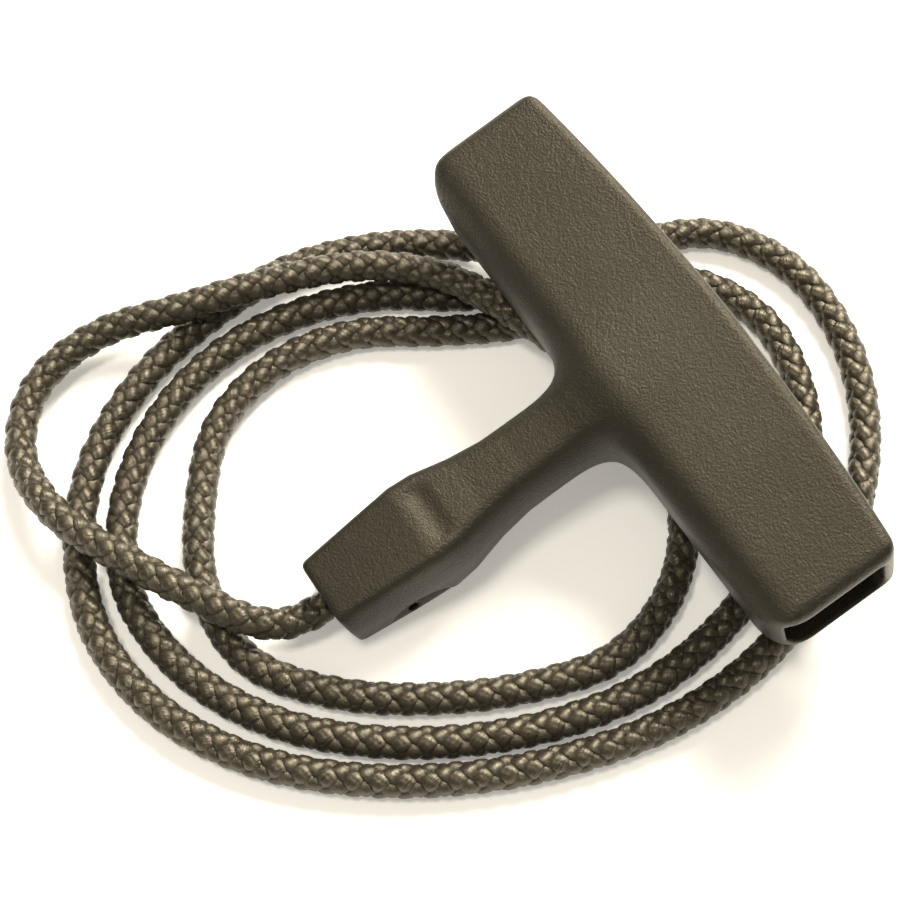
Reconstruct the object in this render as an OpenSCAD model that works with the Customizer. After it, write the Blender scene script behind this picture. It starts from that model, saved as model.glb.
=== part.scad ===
// Recoil starter handle: a one-piece moulded T grip with its braided pull rope lying in loops.
// Millimetres. The grip's bar runs along X, its stem points to -Y, and the floor is z = 0.

/* [Grip bar] */
// Length of the hollow cross bar
bar_l = 85; // [76:1:96]
// Distance from the stem axis plane of the bar to its back edge at mid length
bar_back = 11; // [10:0.1:12]
// Distance from the bar centre to its front edge
bar_front = 11.8; // [11:0.1:12.6]
// Thickness of the bar
bar_h = 16.4; // [15.6:0.1:17]
// How far the back edge falls away at the two ends
bar_bow = 2.4; // [1:0.1:3]
// Height of the open cavity through the bar
cavity_h = 11.4; // [10.6:0.1:11.8]
// Width of the open cavity through the bar
cavity_w = 15; // [14.5:0.1:15.5]

/* [Stem] */
// Distance from the bar centre to the tip of the stem
stem_l = 57; // [52:0.5:62]
// Width of the neck
neck_w = 10.6; // [10:0.1:11.4]
// Height of the neck
neck_h = 12; // [11:0.1:12.6]
// Widest part of the tip block
block_w = 15.2; // [14:0.1:16]
// Thickest part of the tip block
block_h = 14; // [13.2:0.1:14.4]
// Width at the very tip
tip_w = 12.4; // [11:0.1:13.4]
// Thickness at the very tip
tip_h = 12.4; // [11.4:0.1:12.4]
// Bore that the rope runs through
bore_d = 5.3; // [5.2:0.05:5.8]
// Radius of the half-round recess in the side of the tip block
recess_r = 5.2; // [4:0.1:5.6]
// Depth of the half-round recess
recess_deep = 2; // [1.2:0.1:2.2]

/* [Rope] */
// Diameter of the braided rope
rope_d = 4.5; // [4:0.05:4.5]
// Size of the stop knot along the rope
knot_l = 9; // [8:0.1:9.6]
// Thickness of the stop knot
knot_h = 7.2; // [6.8:0.1:7.5]

/* [Lie] */
// Angle at which the grip leans on its rope, tip down
lean = 14.6; // [14.6:0.1:14.6]
// How widely the loops of rope are spread
spread = 1.06; // [1.04:0.01:1.08]

/* [Hidden] */
eps = 0.02;
grip_y = 22.1;
grip_z = 19.96;
edge_r = 1.5;
front_r = 4.6;
cavity_y = -1.6;
corner_r = 2;
neck_start = -31;
block_y = -40.5;
knot_back = 5;
knot_front = knot_back - knot_l;
inner_l = knot_front + stem_l + 0.3;
tail_l = 9;
seal_l = 1.2;
sides = 10;
plastic_col = [0.13, 0.13, 0.12];
rope_col = [0.22, 0.21, 0.19];
seal_col = [0.07, 0.07, 0.07];

mouth = [0, grip_y - (stem_l + 0.3) * cos(lean), grip_z - (stem_l + 0.3) * sin(lean)];

// Centre line of the rope outside the grip, from the stem's mouth to the sealed end.
lay = [
    mouth, [-0.7, -37.4, 4.8], [-3.5, -41.5, 6.3], [-9.5, -45.4, 7.2],
    [-20, -51, 7.1], [-31, -55.3, 6.4], [-42, -54.5, 4.2], [-50, -47.5, 3.6],
    [-51.5, -37, 4.8], [-47.5, -25, 7], [-44.5, -13, 6.8], [-40, -1.5, 6.8],
    [-32, 7.7, 7.1], [-21, 13, 6.9], [-9, 17.5, 5.2], [3, 19.5, 2.8],
    [14, 16.5, 2.3], [22.5, 8.5, 2.3], [26.2, -3, 2.3], [23.5, -14.5, 2.3],
    [18, -26, 2.3], [10.3, -36.5, 2.3], [0, -44, 2.3], [-12, -43.6, 2.3],
    [-23, -37.5, 2.3], [-31.5, -29.5, 2.3], [-35, -18, 2.3], [-33, -6.5, 2.3],
    [-27.2, 3.2, 2.3], [-21.5, 14, 2.3], [-18.5, 26, 2.3], [-14.5, 37.5, 2.3],
    [-4, 43, 2.3], [8, 41, 2.3], [18.5, 34, 2.3], [25.5, 24, 2.3],
    [30, 12.5, 2.3], [31.8, 0, 2.3], [30.2, -12, 2.3], [25.4, -24.7, 2.3],
    [17.8, -36.7, 2.3], [8, -46.2, 2.3], [-4, -51.8, 2.3], [-17, -52.3, 2.3],
    [-28, -46.5, 2.3], [-36, -37, 2.3], [-40.4, -25, 2.3], [-40.3, -12.5, 2.3],
    [-36.3, -0.3, 2.3], [-29.3, 10.2, 2.3], [-25, 22, 2.3], [-23.5, 34, 2.3],
    [-18.5, 45.5, 2.3], [-8, 51.5, 2.3], [5, 51, 2.3], [17, 45.5, 2.3],
    [27, 36, 2.3], [33.5, 24, 2.3], [37, 11, 2.3], [37.3, -2, 2.3],
    [34.5, -15, 2.3], [29, -28.5, 2.3], [21, -41, 2.3], [11, -51, 2.3],
    [-1, -57.3, 2.3], [-14, -58.7, 2.3], [-26.2, -54.6, 2.3], [-36.4, -46.4, 2.3],
    [-43.2, -34.8, 2.3], [-46.5, -22, 2.3], [-47, -9, 2.3], [-43.2, 3.7, 2.3],
    [-35.5, 14.5, 3.4], [-25, 21.3, 7.2], [-13, 25, 6.5], [0, 26.5, 3.6],
    [13, 25.8, 4.2], [24, 21.5, 6.9], [32.5, 15.5, 7.1]
];
route = [for (i = [0:len(lay) - 1])
    i == 0 ? mouth : [lay[i][0] * spread, lay[i][1] * spread, lay[i][2]]];
last = len(route) - 1;
stem_axis = [0, -cos(lean), -sin(lean)];
end_dir = unit(route[last] - route[last - 1]);

function unit(v) = v / norm(v);
function heading(i) =
    i == 0 ? stem_axis
    : i == last ? end_dir
    : unit(unit(route[i + 1] - route[i]) + unit(route[i] - route[i - 1]));
function ring(i) =
    let (t = heading(i), s = unit(cross(t, [0, 0, 1])), u = cross(s, t))
    [for (k = [0:sides - 1])
        route[i] + rope_d / 2 * (cos((k + 0.5) * 360 / sides) * s + sin((k + 0.5) * 360 / sides) * u)];

module rope_tube() {
    points = [for (i = [0:last]) each ring(i)];
    walls = [for (i = [0:last - 1], k = [0:sides - 1])
        let (a = i * sides + k, b = i * sides + (k + 1) % sides)
        each [[a, b, b + sides], [a, b + sides, a + sides]]];
    polyhedron(
        points = points,
        faces = concat(
            [[for (k = [sides - 1:-1:0]) k]],
            walls,
            [[for (k = [0:sides - 1]) last * sides + k]]
        ),
        convexity = 10
    );
}

// Puts something drawn about the bar's centre where the grip lies.
module place() {
    translate([0, grip_y, grip_z])
    rotate([lean, 0, 0])
    children();
}

module ball(x, y, z, r) {
    translate([x, y, z])
    sphere(r = r, $fn = 24);
}

module bar() {
    hull() {
        for (i = [-3:3]) {
            x = i / 3 * (bar_l / 2 - edge_r);
            y = bar_back - bar_bow * i * i / 9;
            ball(x, y - edge_r, bar_h / 2 - edge_r, edge_r);
            ball(x, y - 2.6, 2.6 - bar_h / 2, 2.6 - (abs(i) == 3 ? 1.1 : 0));
        }
        for (s = [-1, 1]) {
            ball(s * (bar_l / 2 - front_r), front_r - bar_front, bar_h / 2 - front_r, front_r);
            ball(s * (bar_l / 2 - 0.8), front_r + 0.6 - bar_front, bar_h / 2 - 1.6, 0.8);
            ball(s * (bar_l / 2 - 1.5), 3 - bar_front, 3 - bar_h / 2, 1.5);
            ball(s * (bar_l / 2 - 3), 3 - bar_front, 3 - bar_h / 2, 3);
        }
    }
}

// Neck sides curve out into the bar on both sides, so the plan is drawn with two arcs.
module neck() {
    fillet = 10;
    hw = neck_w / 2;
    bar_y = -bar_front + 2;
    left = [for (a = [0:15:75])
        [-hw - fillet + fillet * cos(a), bar_y - fillet + fillet * sin(a)]];
    plan = concat(
        [[-hw, neck_start - 1]],
        left,
        [[-hw - fillet + 2, bar_y + 3], [hw + fillet - 2, bar_y + 3]],
        [for (i = [len(left) - 1:-1:0]) [-left[i][0], left[i][1]]],
        [[hw, neck_start - 1]]
    );
    translate([0, 0, 0.6 - neck_h / 2])
    linear_extrude(neck_h - 1.2)
    polygon(plan);
    // Saddle between the top and bottom of the bar and the neck
    hull() {
        for (s = [-1, 1], t = [-1, 1]) {
            ball(s * (hw - 1.3), -27, t * (neck_h / 2 - 1.3), 1.5);
            ball(s * (hw + 1), -8, t * (bar_h / 2 - 2.4), 2);
        }
    }
}

module block() {
    hull() {
        for (s = [-1, 1], t = [-1, 1]) {
            ball(s * (tip_w / 2 - 1.8), 1.8 - stem_l, t * (tip_h / 2 - 1.8), 1.8);
            ball(s * (block_w / 2 - 2), block_y, t * (block_h / 2 - 2), 2);
            ball(s * (neck_w / 2 - 1.5), neck_start, t * (neck_h / 2 - 1.5), 1.5);
        }
    }
    // The shoulder behind the widest part
    hull() {
        for (s = [-1, 1], t = [-1, 1]) {
            ball(s * (block_w / 2 - 2), block_y + 1, t * (block_h / 2 - 2), 2);
            ball(s * (block_w / 2 - 3), block_y + 6, t * (neck_h / 2 - 1.7), 2);
        }
    }
}

module cavity() {
    w = cavity_w / 2 - corner_r;
    h = cavity_h / 2 - corner_r;
    plan = [for (q = [0:3], a = [0:15:90])
        let (x = (q == 0 || q == 3) ? w : -w, y = q < 2 ? h : -h)
        [x + corner_r * cos(90 * q + a), y + corner_r * sin(90 * q + a)]];
    translate([-bar_l, cavity_y, 0])
    rotate([90, 0, 90])
    linear_extrude(2 * bar_l)
    polygon(plan);
}

module grip() {
    color(plastic_col)
    place()
    difference() {
        union() {
            bar();
            neck();
            block();
        }
        cavity();
        // Rope bore, with a flared mouth and a seat for the knot
        translate([0, cavity_y, 0])
        rotate([90, 0, 0])
        cylinder(d = bore_d, h = stem_l + 10, $fn = 64);
        translate([0, -stem_l - eps, 0])
        rotate([-90, 0, 0])
        cylinder(d1 = bore_d + 2.4, d2 = bore_d, h = 1.4, $fn = 64);
        translate([0, cavity_y - cavity_w / 2 + 1, 0])
        rotate([90, 0, 0])
        cylinder(d1 = 7.6, d2 = bore_d, h = 2.2, $fn = 64);
        // Half-round recess in the side of the block, and the small hole in it
        translate([block_w / 2 - recess_deep - 0.4, block_y - 6.5, -block_h / 2 + 0.6])
        rotate([0, 90, 0])
        cylinder(r = recess_r, h = 8, $fn = 64);
        translate([block_w / 2 - recess_deep - 2, block_y - 6.8, -block_h / 2 + 3.4])
        rotate([0, 90, 0])
        cylinder(d = 1.2, h = 8, $fn = 32);
    }
}

module rope_outer() {
    color(rope_col)
    rope_tube();
}

module rope_inner() {
    color(rope_col)
    translate(route[0])
    rotate([lean, 0, 0])
    rotate([-90, 0, 0])
    cylinder(d = rope_d, h = inner_l, $fn = 64);
}

// Overhand stop knot, drawn as two crossed turns around a core
module stop_knot() {
    turn_r = knot_h / 2 - 1.72;
    color(rope_col)
    place()
    difference() {
        intersection() {
            union() {
                for (s = [-1, 1])
                    translate([0, knot_back - knot_l / 2, s * 1.72])
                    rotate([0, s * 3, 0])
                    rotate_extrude($fn = 48)
                    translate([3.4, 0])
                    circle(r = turn_r, $fn = 32);
                translate([0, knot_back - knot_l / 2, 0])
                cylinder(r = 3.2, h = 3.6, center = true, $fn = 48);
                translate([0, knot_back - knot_l / 2, 0])
                rotate([90, 0, 0])
                cylinder(d = rope_d - 0.2, h = knot_l + 2, center = true, $fn = 48);
                translate([0, knot_back - knot_l / 2, 0])
                rotate([0, 90, 0])
                cylinder(d = rope_d - 0.2, h = 14, center = true, $fn = 48);
            }
            translate([-6, knot_front, -knot_h / 2])
            cube([12, knot_l, knot_h]);
        }
    }
}

module knot_tail() {
    color(rope_col)
    place()
    translate([6, knot_back - knot_l / 2, 0])
    rotate([0, 90, 0])
    cylinder(d = rope_d, h = tail_l, $fn = 48);
}

module tail_seal() {
    color(seal_col)
    place()
    translate([6 + tail_l, knot_back - knot_l / 2, 0])
    rotate([0, 90, 0])
    cylinder(d1 = rope_d, d2 = rope_d - 1, h = seal_l, $fn = 48);
}

module end_seal() {
    yaw = atan2(end_dir[1], end_dir[0]);
    dip = acos(end_dir[2]);
    color(seal_col)
    translate(route[last])
    rotate([0, dip, yaw])
    cylinder(d1 = rope_d - 0.2, d2 = rope_d - 1, h = seal_l, $fn = 48);
}

grip();
rope_outer();
rope_inner();
stop_knot();
knot_tail();
tail_seal();
end_seal();
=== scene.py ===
import math

import bpy
import numpy as np
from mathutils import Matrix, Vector


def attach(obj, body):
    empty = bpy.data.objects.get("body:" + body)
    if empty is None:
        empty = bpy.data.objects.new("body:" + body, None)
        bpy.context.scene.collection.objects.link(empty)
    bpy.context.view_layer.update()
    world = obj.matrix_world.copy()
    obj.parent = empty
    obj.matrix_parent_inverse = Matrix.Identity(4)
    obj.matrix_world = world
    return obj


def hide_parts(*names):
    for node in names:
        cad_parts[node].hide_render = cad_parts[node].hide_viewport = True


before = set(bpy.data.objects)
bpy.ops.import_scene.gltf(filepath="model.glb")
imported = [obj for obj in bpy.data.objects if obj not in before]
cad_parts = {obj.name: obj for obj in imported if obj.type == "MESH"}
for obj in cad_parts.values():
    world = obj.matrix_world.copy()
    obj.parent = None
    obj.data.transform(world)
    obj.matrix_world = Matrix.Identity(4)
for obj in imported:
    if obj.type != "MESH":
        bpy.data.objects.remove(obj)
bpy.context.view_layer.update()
scene = bpy.context.scene

# Lengths are in millimetres until a mesh is made; MM brings them to metres.
MM = 0.001
LEAN = math.radians(14.6)  # the stem's slope down to its mouth
GRIP_AT = np.array([0.0, 22.1, 19.96])  # the bar's centre
DOWN_STEM = np.array([0, -math.cos(LEAN), -math.sin(LEAN)])
MOUTH = GRIP_AT + 57.3 * DOWN_STEM  # where the rope leaves the stem
ROPE_D = 4.5
BRAID_D = 4.65  # the rope that shows, over the crowns of its strands
KNOT_D = 3.7  # the rope in the knot, pulled thin
LAY = 3.1 * ROPE_D  # length of one turn of a strand
STEP = 0.42  # between the rings of a strand
SPREAD = 1.06  # how far out the loops lie, as in the CAD

# ---------------------------------------------------------------- camera
cam_data = bpy.data.cameras.new("camera")
cam_data.sensor_width = 36
cam_data.lens = 82.4
cam = bpy.data.objects.new("camera", cam_data)
cam.location = (0.0894, -0.0751, 0.2752)
cam.rotation_euler = (math.radians(24.2), math.radians(-0.5), math.radians(56.5))
scene.collection.objects.link(cam)
scene.camera = cam

# ---------------------------------------------------------------- rope line
# Points of the rope's centre line after the stem's mouth, on to its free end under the bar.
LOOPS = [
    (-0.7, -37.4, 4.8), (-3.5, -41.5, 6.3), (-9.5, -45.4, 7.2),
    (-20, -51, 7.1), (-31, -55.3, 6.4), (-42, -54.5, 4.2), (-50, -47.5, 3.6),
    (-51.5, -37, 4.8), (-47.5, -25, 7), (-44.5, -13, 6.8), (-40, -1.5, 6.8),
    (-32, 7.7, 7.1), (-21, 13, 6.9), (-9, 17.5, 5.2), (3, 19.5, 2.8),
    (14, 16.5, 2.3), (22.5, 8.5, 2.3), (26.2, -3, 2.3), (23.5, -14.5, 2.3),
    (18, -26, 2.3), (10.3, -36.5, 2.3), (0, -44, 2.3), (-12, -43.6, 2.3),
    (-23, -37.5, 2.3), (-31.5, -29.5, 2.3), (-35, -18, 2.3), (-33, -6.5, 2.3),
    (-27.2, 3.2, 2.3), (-21.5, 14, 2.3), (-18.5, 26, 2.3), (-14.5, 37.5, 2.3),
    (-4, 43, 2.3), (8, 41, 2.3), (18.5, 34, 2.3), (25.5, 24, 2.3),
    (30, 12.5, 2.3), (31.8, 0, 2.3), (30.2, -12, 2.3), (25.4, -24.7, 2.3),
    (17.8, -36.7, 2.3), (8, -46.2, 2.3), (-4, -51.8, 2.3), (-17, -52.3, 2.3),
    (-28, -46.5, 2.3), (-36, -37, 2.3), (-40.4, -25, 2.3), (-40.3, -12.5, 2.3),
    (-36.3, -0.3, 2.3), (-29.3, 10.2, 2.3), (-25, 22, 2.3), (-23.5, 34, 2.3),
    (-18.5, 45.5, 2.3), (-8, 51.5, 2.3), (5, 51, 2.3), (17, 45.5, 2.3),
    (27, 36, 2.3), (33.5, 24, 2.3), (37, 11, 2.3), (37.3, -2, 2.3),
    (34.5, -15, 2.3), (29, -28.5, 2.3), (21, -41, 2.3), (11, -51, 2.3),
    (-1, -57.3, 2.3), (-14, -58.7, 2.3), (-26.2, -54.6, 2.3), (-36.4, -46.4, 2.3),
    (-43.2, -34.8, 2.3), (-46.5, -22, 2.3), (-47, -9, 2.3), (-43.2, 3.7, 2.3),
    (-35.5, 14.5, 3.4), (-25, 21.3, 7.2), (-13, 25, 6.5), (0, 26.5, 3.6),
    (13, 25.8, 4.2), (24, 21.5, 6.9), (32.5, 15.5, 7.1),
]
ROUTE = [MOUTH] + [(x * SPREAD, y * SPREAD, z) for x, y, z in LOOPS]


def arc_length(line):
    """How far along the line each of its points lies."""
    return np.r_[0, np.cumsum(np.linalg.norm(np.diff(line, axis=0), axis=1))]


def spline(points, start, step):
    """Catmull-Rom through the points, entered in direction start, with a point every step."""
    p = np.array(points, float)
    first = p[1] - 2 * np.linalg.norm(p[1] - p[0]) * np.array(start)
    p = np.vstack([first, p, 2 * p[-1] - p[-2]])
    fine = []
    for i in range(1, len(p) - 2):
        a, b, c, d = p[i - 1 : i + 3]
        t0, t1 = 0.0, math.sqrt(np.linalg.norm(b - a))
        t2 = t1 + math.sqrt(np.linalg.norm(c - b))
        t3 = t2 + math.sqrt(np.linalg.norm(d - c))
        for t in np.linspace(t1, t2, 40, endpoint=False):
            a1 = (t1 - t) / (t1 - t0) * a + (t - t0) / (t1 - t0) * b
            a2 = (t2 - t) / (t2 - t1) * b + (t - t1) / (t2 - t1) * c
            a3 = (t3 - t) / (t3 - t2) * c + (t - t2) / (t3 - t2) * d
            b1 = (t2 - t) / (t2 - t0) * a1 + (t - t0) / (t2 - t0) * a2
            b2 = (t3 - t) / (t3 - t1) * a2 + (t - t1) / (t3 - t1) * a3
            fine.append((t2 - t) / (t2 - t1) * b1 + (t - t1) / (t2 - t1) * b2)
    fine.append(p[-2])
    return even(np.array(fine), step)


def even(line, step):
    """The same line with its points evenly apart."""
    s = arc_length(line)
    n = max(4, int(round(s[-1] / step)))
    want = np.linspace(0, s[-1], n + 1)
    return np.stack([np.interp(want, s, line[:, k]) for k in range(3)], axis=1)


def smooth(line, passes, keep=6):
    """Takes small kinks out of a line of points; the first and last few stay where they are."""
    out = line.copy()
    weight = np.ones(len(out))
    weight[:keep] = 0
    weight[-keep:] = 0
    for _ in range(passes):
        mid = (out[:-2] + out[2:]) / 2
        out[1:-1] += weight[1:-1, None] * 0.5 * (mid - out[1:-1])
    return out


def carried_frames(line):
    """A normal and binormal at each point that turn as little as possible along the line."""
    t = np.gradient(line, axis=0)
    t /= np.linalg.norm(t, axis=1)[:, None]
    n = np.zeros_like(t)
    side = np.cross(t[0], [0, 0, 1.0])
    n[0] = side / np.linalg.norm(side)
    for i in range(1, len(t)):
        v = n[i - 1] - np.dot(n[i - 1], t[i]) * t[i]
        n[i] = v / np.linalg.norm(v)
    return t, n, np.cross(t, n)


# ---------------------------------------------------------------- braid
def tube_faces(first, rings, sides):
    """Quads of a tube whose vertices are stored side after side, from number first on."""
    idx = first + np.arange(sides)[None, :] * rings + np.arange(rings)[:, None]
    turned = np.roll(idx, -1, axis=1)
    return np.stack([idx[:-1], turned[:-1], turned[1:], idx[1:]], axis=-1).reshape(-1, 4)


def tube_uvs(sides, s):
    """Round the tube from 0 to 1, and along it in millimetres."""
    return [np.stack([np.full(len(s), j / sides), s], axis=1) for j in range(sides)]


def new_object(name, verts, faces):
    """A smooth-shaded object from vertices in millimetres."""
    mesh = bpy.data.meshes.new(name)
    mesh.from_pydata((verts * MM).tolist(), [], faces.tolist())
    mesh.polygons.foreach_set("use_smooth", np.ones(len(mesh.polygons), bool))
    mesh.update()
    o = bpy.data.objects.new(name, mesh)
    scene.collection.objects.link(o)
    return o


def lay_uvs(mesh, uv):
    """Gives the corners their vertices' places in uv, with no seam across the last side."""
    layer = mesh.uv_layers.new(name="strand")
    corners = np.empty(len(mesh.loops), np.int32)
    mesh.loops.foreach_get("vertex_index", corners)
    loops = uv[corners].astype(np.float32).reshape(-1, 4, 2)
    # the last side of each loop runs on past 1 instead of back to 0
    wrap = (loops[:, :, 0].max(1) - loops[:, :, 0].min(1)) > 0.5
    part = loops[wrap]
    part[:, :, 0] = np.where(part[:, :, 0] < 0.5, part[:, :, 0] + 1, part[:, :, 0])
    loops[wrap] = part
    layer.data.foreach_set("uv", loops.reshape(-1))


def braid_mesh(name, line, diameter=ROPE_D, phase=0.0, lay=LAY, sides=10, core_sides=8):
    """Eight flat strands, four each way, plaited one over one, with a plain core under them."""
    k = 2 * math.pi / lay
    thick, wide, wave = 0.25 * diameter, 0.52 * diameter, 0.085 * diameter
    r0 = diameter / 2 - wave - thick / 2 + 0.02 * diameter
    s = arc_length(line) + phase
    _, n, b = carried_frames(line)
    rng = np.random.default_rng(11)
    rings = len(line)
    loop = np.linspace(0, 2 * math.pi, sides, endpoint=False)
    verts, faces, uvs = [], [], []
    for way in (1, -1):
        for i in range(4):
            ang = way * k * s + 2 * math.pi * (i + (0 if way > 0 else 0.5)) / 4
            lift = way * np.sin(4 * k * s)
            rad = r0 + wave * np.clip(1.25 * lift, -1, 1)
            # slow wander, so that no two crossings are quite the same
            knots = rng.normal(0, 1, max(8, int((s[-1] - s[0]) / 3.0)))
            at = np.linspace(s[0], s[-1], len(knots))
            ang = ang + 0.035 * np.interp(s, at, knots)
            out = np.cos(ang)[:, None] * n + np.sin(ang)[:, None] * b
            centre = line + out * rad[:, None]
            along = np.gradient(centre, axis=0)
            along /= np.linalg.norm(along, axis=1)[:, None]
            up = out - (out * along).sum(1)[:, None] * along
            up /= np.linalg.norm(up, axis=1)[:, None]
            across = np.cross(along, up)
            w = wide / 2 * (1 + 0.05 * np.interp(s, at, rng.normal(0, 1, len(knots))))
            faces.append(tube_faces(len(verts) * rings, rings, sides))
            for a in loop:
                ca, sa = math.cos(a), math.sin(a)
                # a pillow-shaped section that wraps a little round the rope
                x = np.sign(ca) * abs(ca) ** 0.8
                y = np.sign(sa) * abs(sa) ** 0.9
                bend = -0.16 * (x * wide / 2) ** 2 / r0
                verts.append(centre + across * (x * w)[:, None] + up * (y * thick / 2 + bend))
            uvs += tube_uvs(sides, s)
            # one draw between strands: without it the later strands would wander differently
            rng.uniform(0, 1)
    core_r = r0 - 0.06 * diameter
    step = max(1, int(1.2 / (s[1] - s[0])))
    pick = np.unique(np.r_[np.arange(0, rings, step), rings - 1])
    faces.append(tube_faces(len(verts) * rings, len(pick), core_sides))
    for j in range(core_sides):
        a = 2 * math.pi * j / core_sides
        verts.append(line[pick] + core_r * (math.cos(a) * n[pick] + math.sin(a) * b[pick]))
    uvs += tube_uvs(core_sides, s[pick])
    o = new_object(name, np.concatenate(verts), np.concatenate(faces)[:, ::-1])
    lay_uvs(o.data, np.concatenate(uvs))
    return o


outer = smooth(spline(ROUTE, DOWN_STEM, STEP), 40)
rope = braid_mesh("rope", outer, diameter=BRAID_D)
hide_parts("rope_outer")
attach(rope, "rope_body")

# ---------------------------------------------------------------- grip shape
# The grip is drawn about the bar's centre: x along the bar, y from the stem's tip to the bar's back.
HALF_L, HALF_H = 42.5, 8.2  # half the bar's length and height
FRONT, BACK = 11.8, 11  # from its centre line to its front and its back
BOW = 2.4  # how far the back's middle stands out past its ends
TIP = -57  # the stem's flat end
CELL = 0.42  # of the grid that the moulding is meshed on


def from_grip(p):
    """Points drawn about the bar's centre, brought to the shared frame."""
    c, s = math.cos(LEAN), math.sin(LEAN)
    x, y, z = np.asarray(p, float).T
    return np.stack([x, y * c - z * s, y * s + z * c], axis=1) + GRIP_AT


def rounded_rect(x, y, hx, hy, r):
    qx = np.abs(x) - hx + r
    qy = np.abs(y) - hy + r
    return np.minimum(np.maximum(qx, qy), 0) + np.hypot(np.maximum(qx, 0), np.maximum(qy, 0)) - r


def rounded_rect4(x, y, hx, hy, r_pp, r_np, r_nn, r_pn):
    """A rectangle with its own radius at each corner; p and n are the signs of x and y there."""
    r = np.where(x > 0, np.where(y > 0, r_pp, r_pn), np.where(y > 0, r_np, r_nn))
    return rounded_rect(x, y, hx, hy, r)


def smin(a, b, k):
    """The lesser of two distances, with a fillet about k wide where they meet."""
    h = np.maximum(k - np.abs(a - b), 0) / k
    return np.minimum(a, b) - h * h * h * k / 6


def smax(a, b, k):
    return -smin(-a, -b, k)


def bar_field(x, y, z):
    back = BACK - BOW * (x / HALF_L) ** 2
    mid, half = (back - FRONT) / 2, (back + FRONT) / 2
    section = rounded_rect4(y - mid, z, half, HALF_H, 1.8, 5.6, 3.2, 2.6)
    plan = rounded_rect4(x, y - mid, HALF_L, half, 3.0, 3.0, 6.5, 6.5)
    side = rounded_rect(x, z, HALF_L, HALF_H, 2.6)
    return smax(smax(section, plan, 1.4), side, 1.2)


def stem_field(x, y, z):
    """The neck and the block at its tip, from half widths and half heights along y."""
    hx = np.interp(y, [TIP, -41, -37.5, -32, -27, -12], [6.15, 7.6, 7.4, 6.2, 5.5, 5.3])
    hz = np.interp(
        y,
        [TIP, -41.5, -39.5, -31.5, -24, -14, -8, 0, 6],
        [6.2, 7.0, 6.8, 6.0, 5.8, 6.3, 5.6, 3.4, 0.8],
    )
    stem = rounded_rect(x, z, hx, hz, np.interp(y, [-46, -34], [2.4, 3.4]))
    # above the parting line the sides lean in a little
    stem = smax(stem, (np.abs(x) + 0.24 * np.maximum(z, 0) - hx - 0.35) * 0.97, 1.2)
    return smax(stem, np.maximum(TIP - y, y - 5), 1.6) * 0.92


def grip_cuts(x, y, z):
    """What is taken out of the moulding, each with the rounding of its edge."""
    axis = np.hypot(x, z)
    cavity = rounded_rect(y + 1.6, z, 7.5 + 0.004 * np.abs(x), 5.7 + 0.004 * np.abs(x), 1.8)
    bore = np.maximum(axis - 2.65, y)
    mouth = np.maximum(axis - (3.85 - (y - TIP) * 0.86), y + 55.4)
    knot_seat = np.maximum(axis - (3.8 + (y + 8.1) * 0.5), np.abs(y + 9.2) - 1.6)
    recess = np.maximum(np.hypot(y + 47, z + 6.4) - 5.2, 5.5 - 0.35 * (z + 1.2) - x)
    # the step between the neck and the block, above and below
    groove = smax(np.hypot(y + 37.9, np.abs(z) - 9.2) - 2.9, np.abs(x) - 4.6, 2.5)
    pin_hole = np.maximum(np.hypot(y + 48.0, z + 4.3) - 0.75, 4.2 - x)
    return (
        (cavity, 0.5), (bore, 0.4), (mouth, 0.5), (knot_seat, 0.3),
        (recess, 0.4), (groove, 1.0), (pin_hole, 0.25),
    )


def grip_field(x, y, z):
    """Signed distance, near enough, to the grip's surface."""
    body = smin(bar_field(x, y, z), stem_field(x, y, z), 9.5)
    for cut, edge in grip_cuts(x, y, z):
        body = smax(body, -cut, edge)
    return body


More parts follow.
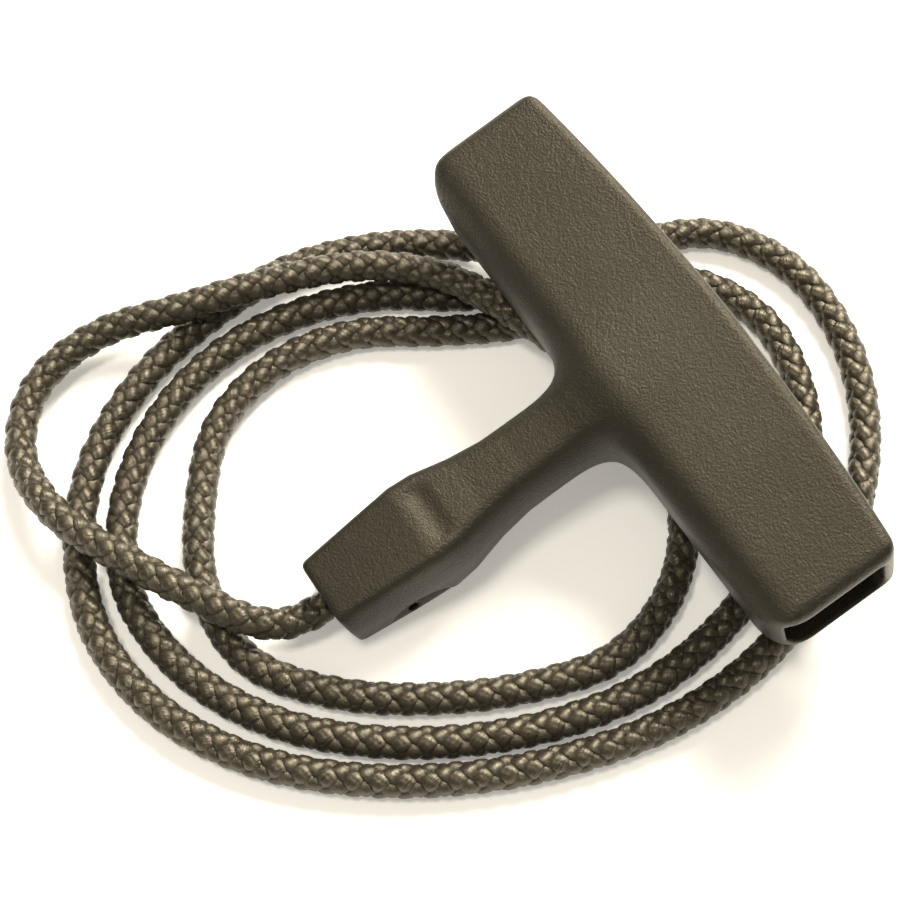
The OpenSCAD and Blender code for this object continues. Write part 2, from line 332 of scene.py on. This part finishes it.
def surface_nets(field, low, high, h):
    """A quad mesh of the field's zero surface: one vertex in each cell that the surface crosses."""
    axes = [np.arange(lo, hi + h, h) for lo, hi in zip(low, high)]
    x, y, z = np.meshgrid(*axes, indexing="ij")
    f = field(x, y, z)
    inside = f < 0
    n = np.array(f.shape)
    cell = np.zeros(n - 1, np.int8)
    for dx, dy, dz in np.ndindex(2, 2, 2):
        cell += inside[dx : n[0] - 1 + dx, dy : n[1] - 1 + dy, dz : n[2] - 1 + dz]
    active = (cell > 0) & (cell < 8)
    index = -np.ones(n - 1, np.int64)
    at = np.argwhere(active)
    index[active] = np.arange(len(at))
    pos = np.zeros((len(at), 3))
    num = np.zeros(len(at))
    for axis in range(3):
        step = np.zeros(3, int)
        step[axis] = 1
        others = [k for k in range(3) if k != axis]
        for shift in np.ndindex(2, 2):
            off = np.zeros(3, int)
            off[others] = shift
            i0 = at + off
            i1 = i0 + step
            f0 = f[i0[:, 0], i0[:, 1], i0[:, 2]]
            f1 = f[i1[:, 0], i1[:, 1], i1[:, 2]]
            cross = (f0 < 0) != (f1 < 0)
            t = np.where(cross, f0 / np.where(cross, f0 - f1, 1), 0)
            pos[cross] += (i0 + t[:, None] * step)[cross]
            num[cross] += 1
    pos = pos / num[:, None] * h + np.array(low)
    quads = []
    for axis in range(3):
        step = np.zeros(3, int)
        step[axis] = 1
        u, w = [k for k in range(3) if k != axis]
        lo = [slice(1, n[k] - 1) for k in range(3)]
        lo[axis] = slice(0, n[axis] - 1)
        hi = list(lo)
        hi[axis] = slice(1, n[axis])
        a, b = inside[tuple(lo)], inside[tuple(hi)]
        for turn in (True, False):
            e = np.argwhere((a != b) & (a == turn)) + (1 - step)
            corner = []
            for du, dw in ((0, 0), (1, 0), (1, 1), (0, 1)):
                c = e.copy()
                c[:, u] -= du
                c[:, w] -= dw
                corner.append(index[c[:, 0], c[:, 1], c[:, 2]])
            q = np.stack(corner, axis=1)
            flip = turn == (axis == 1)
            quads.append(q[:, ::-1] if flip else q)
    return pos, np.concatenate(quads)


def onto(field, p, passes=3):
    """Moves points along the field's slope onto its zero surface."""
    e = 0.03
    for _ in range(passes):
        x, y, z = p.T
        f = field(x, y, z)
        g = np.stack(
            [
                field(x + e, y, z) - field(x - e, y, z),
                field(x, y + e, z) - field(x, y - e, z),
                field(x, y, z + e) - field(x, y, z - e),
            ],
            axis=1,
        ) / (2 * e)
        size = np.maximum((g * g).sum(1), 0.3)
        p = p - np.clip(f / size, -0.2, 0.2)[:, None] * g
    return p


points, quads = surface_nets(grip_field, (-43.4, -58.0, -9.2), (43.4, 12.2, 9.2), CELL)
grip = new_object("grip_moulding", from_grip(onto(grip_field, points)), quads)
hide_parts("grip")
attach(grip, "grip_body")

# ---------------------------------------------------------------- rope inside the grip
inner_line = from_grip([(0, y, 0) for y in np.arange(-3.4, -57.31, -STEP)])[::-1]
inner_len = np.linalg.norm(inner_line[-1] - inner_line[0])
inner = braid_mesh("rope_in_stem", inner_line, phase=inner_len)
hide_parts("rope_inner")
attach(inner, "rope_body")

# Overhand knot (a trefoil left open), pulled flat in the cavity, its tail lying along the bar
turns = [
    (
        1.32 * (math.sin(a) + 2 * math.sin(2 * a)),
        0.5 + 0.80 * (math.cos(a) - 2 * math.cos(2 * a)),
        -1.55 * math.sin(3 * a),
    )
    for a in np.linspace(0.30, 2 * math.pi - 0.42, 90)
]
lead_in = [(0, -4.2, 0), (0.5, -3.2, -0.4)]
lead_out = [(6.5, 0.6, 0), (9, 0.5, 0), (12, 0.5, 0), (15, 0.5, 0)]
knot_line = smooth(spline(from_grip(lead_in + turns + lead_out), -DOWN_STEM, 0.4), 12, 3)
knot = braid_mesh("stop_knot_braid", knot_line, diameter=KNOT_D, lay=3.0 * KNOT_D)
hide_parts("stop_knot", "knot_tail")
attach(knot, "rope_body")


# ---------------------------------------------------------------- heat-sealed ends
def melted(name, at, towards, d, cad):
    """A short melted bead on a rope end."""
    bpy.ops.mesh.primitive_uv_sphere_add(segments=32, ring_count=16, radius=1, location=(0, 0, 0))
    o = bpy.context.object
    o.name = name
    rng = np.random.default_rng(3)
    waves = rng.normal(0, 1, (4, 3))
    for v in o.data.vertices:
        p = np.array(v.co)
        lump = 1 + 0.035 * sum(math.sin(3 * p.dot(w) + i) for i, w in enumerate(waves))
        v.co = Vector((p[0] * lump * d * 0.49, p[1] * lump * d * 0.49, max(p[2], -0.35) * 1.15)) * MM
    o.rotation_mode = "QUATERNION"
    o.rotation_quaternion = Vector(towards).to_track_quat("Z", "Y")
    o.location = Vector(np.array(at) * MM)
    for f in o.data.polygons:
        f.use_smooth = True
    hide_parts(cad)
    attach(o, "rope_body")
    return o


end_dir = (outer[-1] - outer[-8]) / np.linalg.norm(outer[-1] - outer[-8])
beads = [
    melted("end_bead", outer[-1], end_dir, 4.4, "end_seal"),
    melted("tail_bead", knot_line[-1], (1, 0, 0), 3.6, "tail_seal"),
]


# ---------------------------------------------------------------- materials
WARM = (1, 0.93, 0.80)  # the lamps and the white tent
SHEEN = (1, 0.9, 0.7, 1)  # tint of the highlights on plastic and rope


def node(tree, kind, **inputs):
    """A new node, its sockets set by name, with _ for a space."""
    n = tree.nodes.new(kind)
    for key, value in inputs.items():
        n.inputs[key.replace("_", " ")].default_value = value
    return n


def material(name, **inputs):
    """A new material, its node tree and its shader, the shader's sockets set as in node."""
    m = bpy.data.materials.new(name)
    m.use_nodes = True
    bsdf = m.node_tree.nodes["Principled BSDF"]
    for key, value in inputs.items():
        bsdf.inputs[key.replace("_", " ")].default_value = value
    return m, m.node_tree, bsdf


def ramp(tree, fac, low, dark, high, light):
    """The colour between dark, where fac is low, and light, where it is high."""
    n = tree.nodes.new("ShaderNodeValToRGB")
    for element, place, colour in zip(n.color_ramp.elements, (low, high), (dark, light)):
        element.position = place
        element.color = colour
    tree.links.new(fac, n.inputs["Fac"])
    return n.outputs["Color"]


def bump(tree, height, distance, strength=1.0):
    n = node(tree, "ShaderNodeBump", Strength=strength, Distance=distance)
    tree.links.new(height, n.inputs["Height"])
    return n


def moulded_plastic():
    """Black plastic with a fine grain over a coarser pebble."""
    m, tree, bsdf = material(
        "moulded_plastic", Roughness=0.42, Specular_IOR_Level=0.42, Specular_Tint=SHEEN
    )
    coord = tree.nodes.new("ShaderNodeTexCoord")
    grain = node(tree, "ShaderNodeTexNoise", Scale=2600.0, Detail=3.0, Roughness=0.65)
    pebble = node(tree, "ShaderNodeTexNoise", Scale=900.0, Detail=2.0, Roughness=0.5)
    tone = node(tree, "ShaderNodeTexNoise", Scale=60.0, Detail=4.0, Roughness=0.6)
    for n in (grain, pebble, tone):
        tree.links.new(coord.outputs["Object"], n.inputs["Vector"])
    dark, light = (0.008, 0.0073, 0.0055, 1), (0.017, 0.0155, 0.0115, 1)
    colour = ramp(tree, tone.outputs["Fac"], 0.3, dark, 0.75, light)
    tree.links.new(colour, bsdf.inputs["Base Color"])
    fine = bump(tree, grain.outputs["Fac"], 0.00016)
    coarse = bump(tree, pebble.outputs["Fac"], 0.00012, 0.5)
    tree.links.new(coarse.outputs["Normal"], fine.inputs["Normal"])
    tree.links.new(fine.outputs["Normal"], bsdf.inputs["Normal"])
    return m


def braid():
    """Shiny dark fibres that run along each strand."""
    m, tree, bsdf = material("braid", Roughness=0.3, Specular_IOR_Level=0.85, Specular_Tint=SHEEN)
    uvmap = tree.nodes.new("ShaderNodeUVMap")
    uvmap.uv_map = "strand"
    scale = node(tree, "ShaderNodeMapping", Scale=(34.0, 0.9, 1.0))
    tree.links.new(uvmap.outputs["UV"], scale.inputs["Vector"])
    fibre = node(tree, "ShaderNodeTexNoise", Scale=1.0, Detail=3.0, Roughness=0.7)
    tree.links.new(scale.outputs["Vector"], fibre.inputs["Vector"])
    dark, light = (0.002, 0.0018, 0.0014, 1), (0.05, 0.043, 0.030, 1)
    colour = ramp(tree, fibre.outputs["Fac"], 0.3, dark, 0.72, light)
    tree.links.new(colour, bsdf.inputs["Base Color"])
    relief = bump(tree, fibre.outputs["Fac"], 0.00014)
    tree.links.new(relief.outputs["Normal"], bsdf.inputs["Normal"])
    return m


def melted_end():
    return material("melted_end", Base_Color=(0.02, 0.018, 0.014, 1), Roughness=0.3)[0]


def white_floor():
    return material(
        "white_floor",
        Base_Color=(0.93, 0.93, 0.92, 1),
        Emission_Color=(1, 0.97, 0.9, 1),
        Emission_Strength=0.28,
        Roughness=0.8,
        Specular_IOR_Level=0.1,
    )[0]


def coat(objects, m):
    for o in objects:
        o.data.materials.append(m)


coat([grip], moulded_plastic())
coat([rope, inner, knot], braid())
coat(beads, melted_end())

# ---------------------------------------------------------------- floor and light
bpy.ops.mesh.primitive_plane_add(size=6, location=(0, 0, -0.00002))
floor = bpy.context.object
floor.name = "floor"
coat([floor], white_floor())

world = bpy.data.worlds.new("white_tent")
scene.world = world
world.use_nodes = True
world.node_tree.nodes["Background"].inputs["Color"].default_value = (*WARM, 1)
world.node_tree.nodes["Background"].inputs["Strength"].default_value = 0.38


def lamp(name, at, size, power):
    """A square lamp that looks at the origin."""
    data = bpy.data.lights.new(name, "AREA")
    data.size = size
    data.energy = power
    data.color = WARM
    o = bpy.data.objects.new(name, data)
    o.location = at
    o.rotation_euler = (Vector((0, 0, 0)) - Vector(at)).to_track_quat("-Z", "Y").to_euler()
    scene.collection.objects.link(o)


lamp("key", (-0.32, 0.47, 0.58), 0.38, 15)
lamp("top", (-0.05, -0.16, 0.62), 0.12, 1.6)

scene.view_settings.view_transform = "Standard"
scene.view_settings.look = "None"
